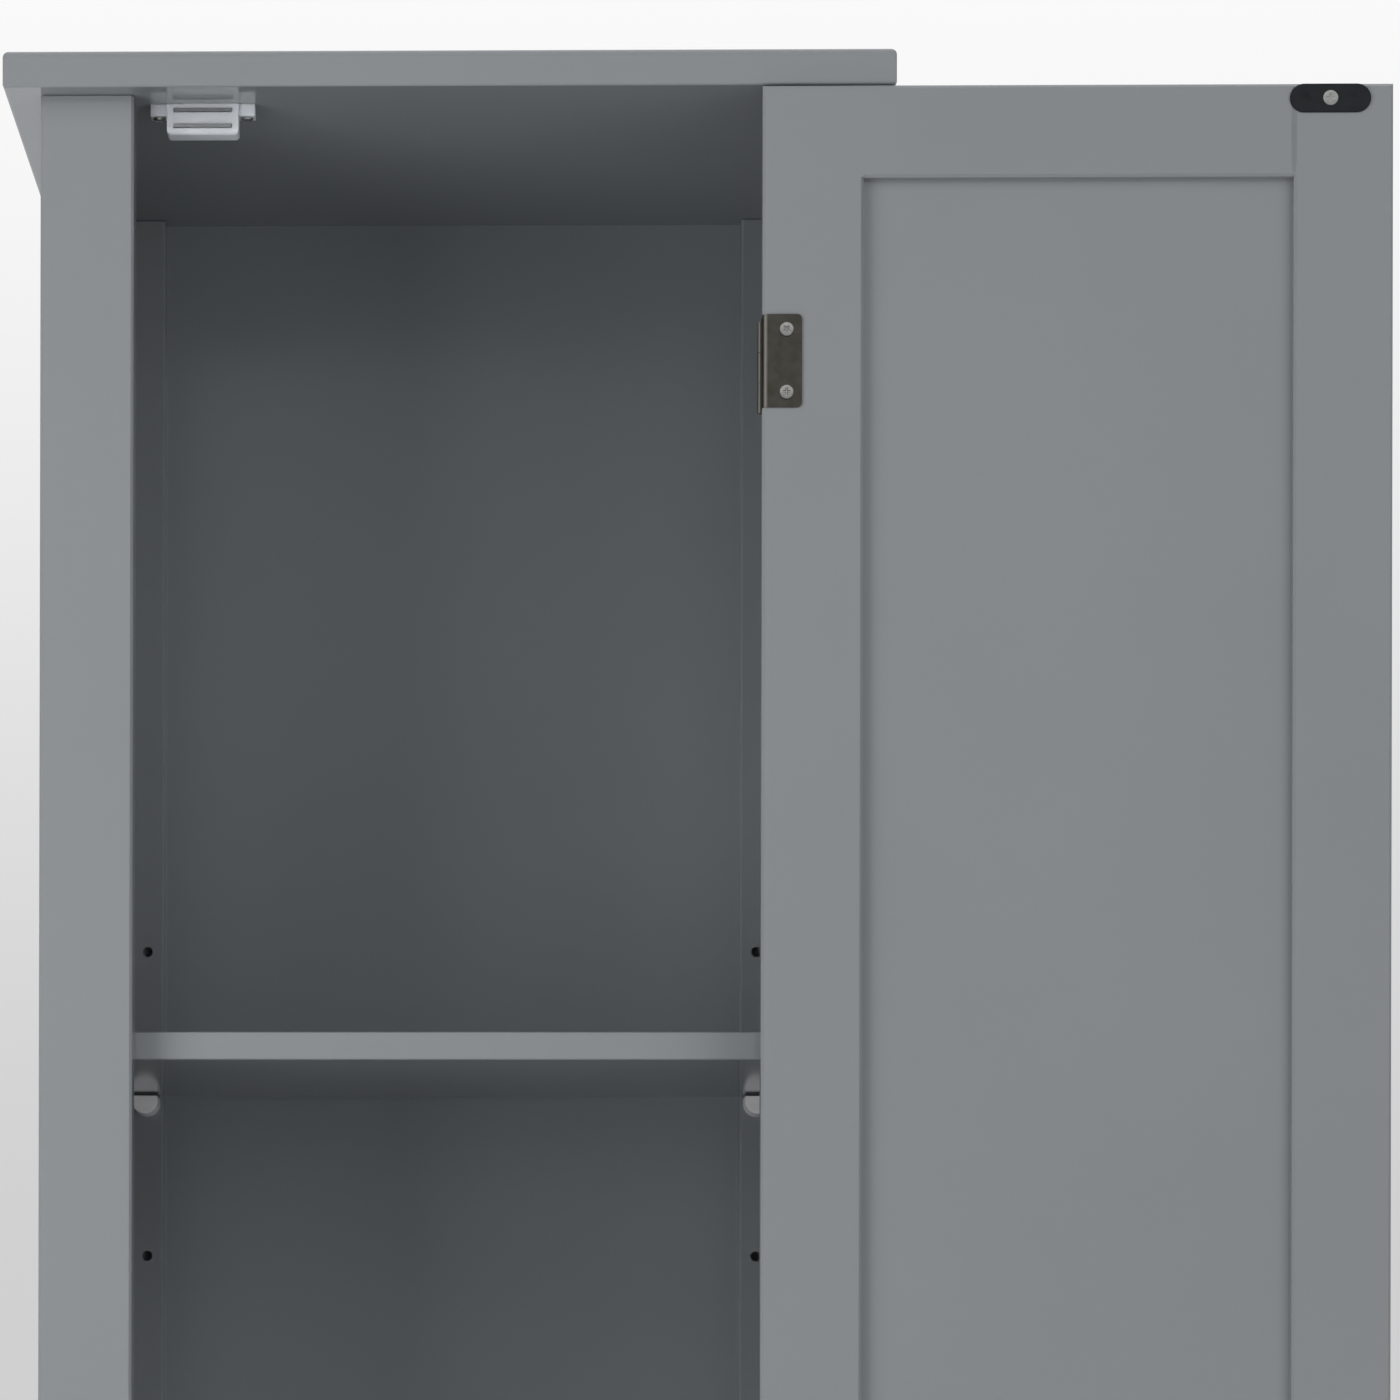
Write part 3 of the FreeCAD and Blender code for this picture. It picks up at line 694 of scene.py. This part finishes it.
@dataclass
class StrikePlate:
    """Pressed plate with round ends, a rounded rim and two dimples.

    Attributes:
        edge: rounding of the rim.
        dimple_reach: distance of a dimple from the plate's centre.
        dimple_radius: radius of a dimple.
        dimple_depth: depth of a dimple.
        end_points: points round each end.
        side_points: points along each side.
        rim_points: points over the rim.
        face_points: points from the rim to the middle line.
    """

    edge: float = 0.5 * MM
    dimple_reach: float = 10.7 * MM
    dimple_radius: float = 1.3 * MM
    dimple_depth: float = 0.6 * MM
    end_points: int = 25
    side_points: int = 24
    rim_points: int = 7
    face_points: int = 19

    def grid(self, half_length: float, half_height: float, thick: float) -> np.ndarray:
        """Work out the plate about its centre, lying on Y = 0 with its face towards Y.

        A round-ended bar: each point lies a share of the half height away from the middle line, at right
        angles along the straight sides and like the spokes of a wheel round the ends. The rim is a quarter
        circle, and each dimple is a bell curve taken off the face.

        Args:
            half_length: half the plate's length along X.
            half_height: half its height along Z.
            thick: thickness of its sheet.

        Returns:
            The grid of the plate, from the foot of its rim to the middle line.
        """
        half = half_length - half_height
        bend = np.linspace(-np.pi / 2, np.pi / 2, self.end_points)
        side = np.linspace(1, -1, self.side_points)
        end = np.ones(self.end_points)
        upward = np.full(self.side_points, np.pi / 2)
        angle = np.concatenate([bend, upward, bend + np.pi, upward + np.pi])
        spine = half * np.concatenate([end, side, -end, -side])
        rim = np.linspace(0, np.pi / 2, self.rim_points)
        face = np.linspace(self.edge, half_height, self.face_points + 1)[1:]
        inset = np.concatenate([[0.0], self.edge * (1 - np.cos(rim)), face])
        rim_rise = thick - self.edge * (1 - np.sin(rim))
        rise = np.concatenate([[0.0], rim_rise, np.full(self.face_points, thick)])[:, None]
        spread = (half_height - inset)[:, None]
        x = spine + spread * np.cos(angle)
        z = spread * np.sin(angle)
        away = np.minimum(np.hypot(x - self.dimple_reach, z), np.hypot(x + self.dimple_reach, z))
        dimple = self.dimple_depth * np.exp(-(away / self.dimple_radius) ** 2)
        return np.stack([x, rise - np.where(rise >= thick, dimple, 0), z], axis=-1)


@dataclass
class Knob:
    """Turned knob with a waisted neck and a rounded head.

    Attributes:
        neck_share: radius of the neck, as a share of the head's radius.
        head_share: length of the head, as a share of the knob's length.
        waist_share: radius of the waist, as a share of the neck's radius.
        waist_flare: how much the neck widens away from its waist, as a share of its radius.
        rim_share: depth of the head's rim, as a share of the head's length.
        rim_rise_share: share of the head's length that the rim takes up.
        dome_share: height of the domed face, as a share of the head's length.
        neck_points: points along the neck.
        rim_points: points over the rim.
        face_points: points from the rim to the middle of the face.
        columns: points round the knob.
    """

    neck_share: float = 0.39
    head_share: float = 0.38
    waist_share: float = 0.82
    waist_flare: float = 0.72
    rim_share: float = 0.42
    rim_rise_share: float = 0.94
    dome_share: float = 0.03
    neck_points: int = 16
    rim_points: int = 28
    face_points: int = 13
    columns: int = 72

    def grid(self, radius: float, length: float) -> np.ndarray:
        """Work out the knob about Z, from the foot of its neck to the middle of its face.

        The neck's radius follows a parabola along its length. The head's rim is half an ellipse between the
        neck and a gently domed face, which falls with the square of the radius share.

        Args:
            radius: radius of the head.
            length: length of the knob.

        Returns:
            The grid of the knob.
        """
        neck, head = self.neck_share * radius, self.head_share * length
        along = np.linspace(0, 1, self.neck_points)
        neck_radius = neck * (self.waist_share + self.waist_flare * (along - 0.5) ** 2)
        neck_height = along * (length - head)
        sweep = np.linspace(-np.pi / 2, np.pi / 2, self.rim_points)
        rim_radius = radius - self.rim_share * head * (1 - np.cos(sweep))
        rim_height = length - head / 2 + head / 2 * np.sin(sweep) * self.rim_rise_share
        face = np.linspace(1, 0, self.face_points + 1)[1:]
        face_radius = rim_radius[-1] * face
        face_height = rim_height[-1] + self.dome_share * head * (1 - face ** 2)
        profile_radius = np.concatenate([[0.0], neck_radius, rim_radius, face_radius])
        profile_height = np.concatenate([[0.0], neck_height, rim_height, face_height])
        return turned(profile_radius, profile_height, self.columns)


@dataclass
class Door:
    """One framed door with its strike plate, knob and hinge leaves.

    Attributes:
        space: upper or lower.
        facing: way that the door's back looks in the stored pose.
        leaf_screw_inset: distance of a leaf's screws from its free end.
        leaf_screw_pitch: distance between the two screws of a leaf.
        leaf_head: domed head of a leaf's screws.
        strike_head: countersunk head of the strike plate's screw, low enough to clear the catch.
        strike_plate: plate that the catch holds.
        knob: knob on the door's front.
        knob_head: head of the knob's screw on the door's back.
        joint_width: width of the faint line at the butt joint of rail and latch stile.
        joint_rise: height of the lacquer bead in that joint.
        joint_end: distance that the line stops short of the rail's edges.
        joint_taper: power by which the line comes to a point at its ends.
        joint_rows: points along the line.
        joint_columns: points round its section.
    """

    space: str
    facing: Facing
    leaf_screw_inset: float = 6.9 * MM
    leaf_screw_pitch: float = 28 * MM
    leaf_head: CrossScrew = field(default_factory=lambda: CrossScrew(radius=3.2 * MM, height=1.5 * MM))
    strike_head: CrossScrew = field(default_factory=lambda: CrossScrew(
        radius=3.3 * MM, height=0.33 * MM, rim_share=0.2, recess_depth_share=0.85))
    strike_plate: StrikePlate = field(default_factory=StrikePlate)
    knob: Knob = field(default_factory=Knob)
    knob_head: CrossScrew = field(default_factory=lambda: CrossScrew(radius=4.2 * MM, height=2.0 * MM))
    joint_width: float = 2.4 * MM
    joint_rise: float = 0.03 * MM
    joint_end: float = 1.2 * MM
    joint_taper: float = 0.15
    joint_rows: int = 40
    joint_columns: int = 12

    @property
    def body(self) -> str:
        """Name of the CAD body that swings."""
        return self.space + "_door"

    @property
    def outward(self) -> Vector:
        """Direction that the door's back looks."""
        return Vector((0, self.facing.value, 0))

    def node(self, piece: str) -> str:
        """Name of one of the door's CAD nodes."""
        return f"{self.body}_{piece}"

    def back_of(self, piece: str) -> float:
        """Level in Y of a node's face on the door's back side."""
        low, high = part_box(self.node(piece))
        return high.y if self.facing is Facing.TO_BACK else low.y

    def build(self) -> None:
        """Dress the frame and panel, then add plate, knob and screws."""
        for piece in ("latch_stile", "hinge_stile", "top_rail", "bottom_rail", "panel"):
            dress(self.node(piece), LACQUER)
        for end in ("top", "bottom"):
            dress(self.node(end + "_hinge_leaf"), BRONZE)
        self.draw_joints()
        self.screw_leaves()
        self.press_strike_plate()
        self.turn_knob()

    def draw_joints(self) -> None:
        """Lay a thin bead of lacquer in each butt joint of the latch stile, on both faces of the door. Its
        darker tone is painted shade of the hairline.

        The bead's section is a flat ellipse, carried up the joint and tapered to a point at both ends by a
        sine raised to a small power.
        """
        stile_low, stile_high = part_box(self.node("latch_stile"))
        x = stile_high.x if self.facing is Facing.TO_BACK else stile_low.x
        angle = np.linspace(0, 2 * np.pi, self.joint_columns, endpoint=False)
        along = np.linspace(0, 1, self.joint_rows)[:, None]
        taper = np.clip(np.sin(np.pi * along), 0, 1) ** self.joint_taper
        grids = []
        for rail in ("top_rail", "bottom_rail"):
            low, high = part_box(self.node(rail))
            z = low.z + self.joint_end + along * (high.z - low.z - 2 * self.joint_end)
            for y in (stile_low.y, stile_high.y):
                grids.append(np.stack([x + self.joint_width / 2 * taper * np.cos(angle),
                                       y + self.joint_rise * taper * np.sin(angle),
                                       np.broadcast_to(z, (self.joint_rows, self.joint_columns))], axis=-1))
        surface(self.node("joint_shade_lines"), grids, PAINTED_JOINT_SHADE, self.body)

    def screw_leaves(self) -> None:
        """Put two domed screw heads on each leaf, near its free end."""
        feet = []
        for end in ("top", "bottom"):
            low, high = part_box(self.node(end + "_hinge_leaf"))
            tip = low.x if self.facing is Facing.TO_BACK else high.x
            x = tip + self.facing.value * self.leaf_screw_inset
            y = self.back_of(end + "_hinge_leaf")
            middle = (low.z + high.z) / 2
            feet += [Vector((x, y, middle + step * self.leaf_screw_pitch)) for step in (-0.5, 0.5)]
        screw_set(self.node("leaf_screw_heads"), self.leaf_head, feet, self.outward, self.body)

    def press_strike_plate(self) -> None:
        """Lay the pressed strike plate on the door's back, with its screw."""
        node = self.node("strike_plate")
        low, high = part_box(node)
        centre, half = (low + high) / 2, (high - low) / 2
        base = Vector((centre.x, centre.y - self.facing.value * half.y, centre.z))
        rising = self.strike_plate.grid(half.x, half.z, high.y - low.y)
        grid = rising * (1, self.facing.value, 1) + np.array(base)
        plate = surface(self.node("strike_plate_pressed"), [grid], BLACK_COAT, self.body)
        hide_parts(node)
        foot = Vector((centre.x, self.back_of("strike_plate"), centre.z))
        screw_set(self.node("strike_screw_head"), self.strike_head, [foot], self.outward, self.body)

    def turn_knob(self) -> None:
        """Set the turned knob on the door's front, and the head of its screw on the back."""
        node = self.node("knob")
        low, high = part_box(node)
        away = -self.outward
        foot_y = high.y if away.y < 0 else low.y
        centre = Vector(((low.x + high.x) / 2, foot_y, (low.z + high.z) / 2))
        grid = set_on(self.knob.grid((high.x - low.x) / 2, high.y - low.y), centre, away)
        knob = surface(self.node("knob_turned"), [grid], KNOB_BRONZE, self.body)
        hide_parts(node)
        back = Vector((centre.x, self.back_of("latch_stile"), centre.z))
        screw_set(self.node("knob_screw_head"), self.knob_head, [back], self.outward, self.body)


@dataclass(frozen=True)
class Softbox:
    """One square soft lamp.

    Attributes:
        name: name of the lamp.
        place: where it hangs.
        size: width of its face.
        power: power in watts.
        aim: point that it looks at.
    """

    name: str
    place: tuple[float, float, float]
    size: float
    power: float
    aim: tuple[float, float, float] = (0.1, 0.0, 1.1)

    def hang(self) -> None:
        """Hang the lamp so that it looks at its aim.

        Glossy surfaces mirror the even surroundings and not the lamp.
        """
        data = bpy.data.lights.new(self.name, "AREA")
        data.size = self.size
        data.energy = self.power
        lamp = bpy.data.objects.new(self.name, data)
        look = Vector(self.aim) - Vector(self.place)
        turn = look.to_track_quat("-Z", "Y").to_matrix().to_4x4()
        lamp.matrix_world = Matrix.Translation(self.place) @ turn
        lamp.visible_camera = False
        lamp.visible_glossy = False
        bpy.context.scene.collection.objects.link(lamp)


@dataclass
class Studio:
    """Floor, soft light, pale surroundings and the camera.

    Attributes:
        floor_reach: half width of the floor.
        fill_tone: colour of the even light from all round.
        fill: strength of that light.
        climb_start: height of a view direction at which the backdrop starts to brighten.
        climb_end: height of a view direction at which it has its full brightness.
        softboxes: lamps round the object.
        eye: place of the camera.
        yaw: angle of the level camera to the left.
        roll: small turn of the camera about its axis.
        sensor_mm: width of the camera's sensor.
        lens_mm: focal length on that sensor.
        shift: shares of the frame by which the view is moved right and up.
    """

    floor_reach: float = 9.0
    fill_tone: str = "#FFFFFF"
    fill: float = 0.2
    climb_start: float = 0.03
    climb_end: float = 0.27
    softboxes: tuple[Softbox, ...] = (
        Softbox("left_softbox", (-0.9, -1.05, 1.05), size=0.7, power=8.3),
        Softbox("right_softbox", (1.9, -2.8, 1.2), size=2.4, power=25.0),
        Softbox("high_left_softbox", (-1.3, -2.0, 2.6), size=1.4, power=13.0),
        Softbox("high_right_softbox", (1.5, -2.4, 2.7), size=1.4, power=11.0),
        Softbox("top_softbox", (0.1, 0.7, 3.8), size=1.6, power=60.0),
        Softbox("rear_left_softbox", (-2.0, 2.4, 1.5), size=1.6, power=40.0),
        Softbox("rear_right_softbox", (2.2, 2.4, 1.5), size=1.6, power=40.0),
    )
    eye: tuple[float, float, float] = (0.0214, -2.8574, 0.9399)
    yaw: float = math.radians(1.327)
    roll: float = math.radians(0.12)
    sensor_mm: float = 36.0
    lens_mm: float = 155.3
    shift: tuple[float, float] = (0.2472, 0.5889)

    def build(self) -> None:
        """Set up everything round the object."""
        bpy.context.scene.view_settings.view_transform = "Standard"
        self.lay_floor()
        self.light_surroundings()
        for softbox in self.softboxes:
            softbox.hang()
        self.place_camera()

    def lay_floor(self) -> None:
        """Lay a plain pale floor that keeps the object's shadow."""
        reach = self.floor_reach
        corners = [(-reach, -reach, 0), (reach, -reach, 0), (reach, reach, 0), (-reach, reach, 0)]
        mesh = bpy.data.meshes.new("studio_floor")
        mesh.from_pydata(corners, [], [(0, 1, 2, 3)])
        mesh.materials.append(FLOOR.material())
        floor = bpy.data.objects.new("studio_floor", mesh)
        bpy.context.scene.collection.objects.link(floor)

    def light_surroundings(self) -> None:
        """Light the scene evenly, and show a pale backdrop that darkens towards the horizon."""
        world = bpy.data.worlds.new("studio_surroundings")
        world.use_nodes = True
        bpy.context.scene.world = world
        tree = world.node_tree
        tree.nodes.clear()
        way = add_node(tree, "ShaderNodeTexCoord").outputs["Generated"]
        height = add_node(tree, "ShaderNodeSeparateXYZ", {"Vector": way}).outputs["Z"]
        climb = add_node(tree, "ShaderNodeMapRange", {"Value": height, "From Min": self.climb_start,
                                                      "From Max": self.climb_end},
                         interpolation_type="SMOOTHSTEP").outputs["Result"]
        shown = add_node(tree, "ShaderNodeMix", {"Factor": climb, MIX_FIRST: linear(HORIZON),
                                                 MIX_SECOND: linear(ZENITH)},
                         data_type="RGBA").outputs[MIX_RESULT]
        path = add_node(tree, "ShaderNodeLightPath").outputs
        seen = add_node(tree, "ShaderNodeMath", {0: path["Is Camera Ray"], 1: path["Is Glossy Ray"]},
                        operation="MAXIMUM").outputs[0]
        seen = add_node(tree, "ShaderNodeMath", {0: seen, 1: path["Is Transmission Ray"]},
                        operation="MAXIMUM").outputs[0]
        backdrop = add_node(tree, "ShaderNodeBackground", {"Color": shown, "Strength": 1.0}).outputs[0]
        even = add_node(tree, "ShaderNodeBackground",
                        {"Color": linear(self.fill_tone), "Strength": self.fill}).outputs[0]
        mixed = add_node(tree, "ShaderNodeMixShader", {"Fac": seen, 1: even, 2: backdrop}).outputs[0]
        add_node(tree, "ShaderNodeOutputWorld", {"Surface": mixed})

    def place_camera(self) -> None:
        """Stand the level camera where the photograph was taken from."""
        data = bpy.data.cameras.new("camera")
        data.sensor_width = self.sensor_mm
        data.lens = self.lens_mm
        data.shift_x, data.shift_y = self.shift
        camera = bpy.data.objects.new("camera", data)
        camera.matrix_world = (Matrix.Translation(self.eye) @ Matrix.Rotation(self.yaw, 4, "Z")
                               @ Matrix.Rotation(math.pi / 2, 4, "X") @ Matrix.Rotation(self.roll, 4, "Z"))
        bpy.context.scene.collection.objects.link(camera)
        bpy.context.scene.camera = camera


def main() -> None:
    """Build every part of the scene in order."""
    logging.basicConfig(level=logging.INFO, format="%(name)s: %(message)s")
    Carcass().build()
    for name in ("upper", "lower"):
        Space(name).build()
    Door("upper", Facing.TO_VIEWER).build()
    Door("lower", Facing.TO_BACK).build()
    Studio().build()


if __name__ == "__main__":
    main()
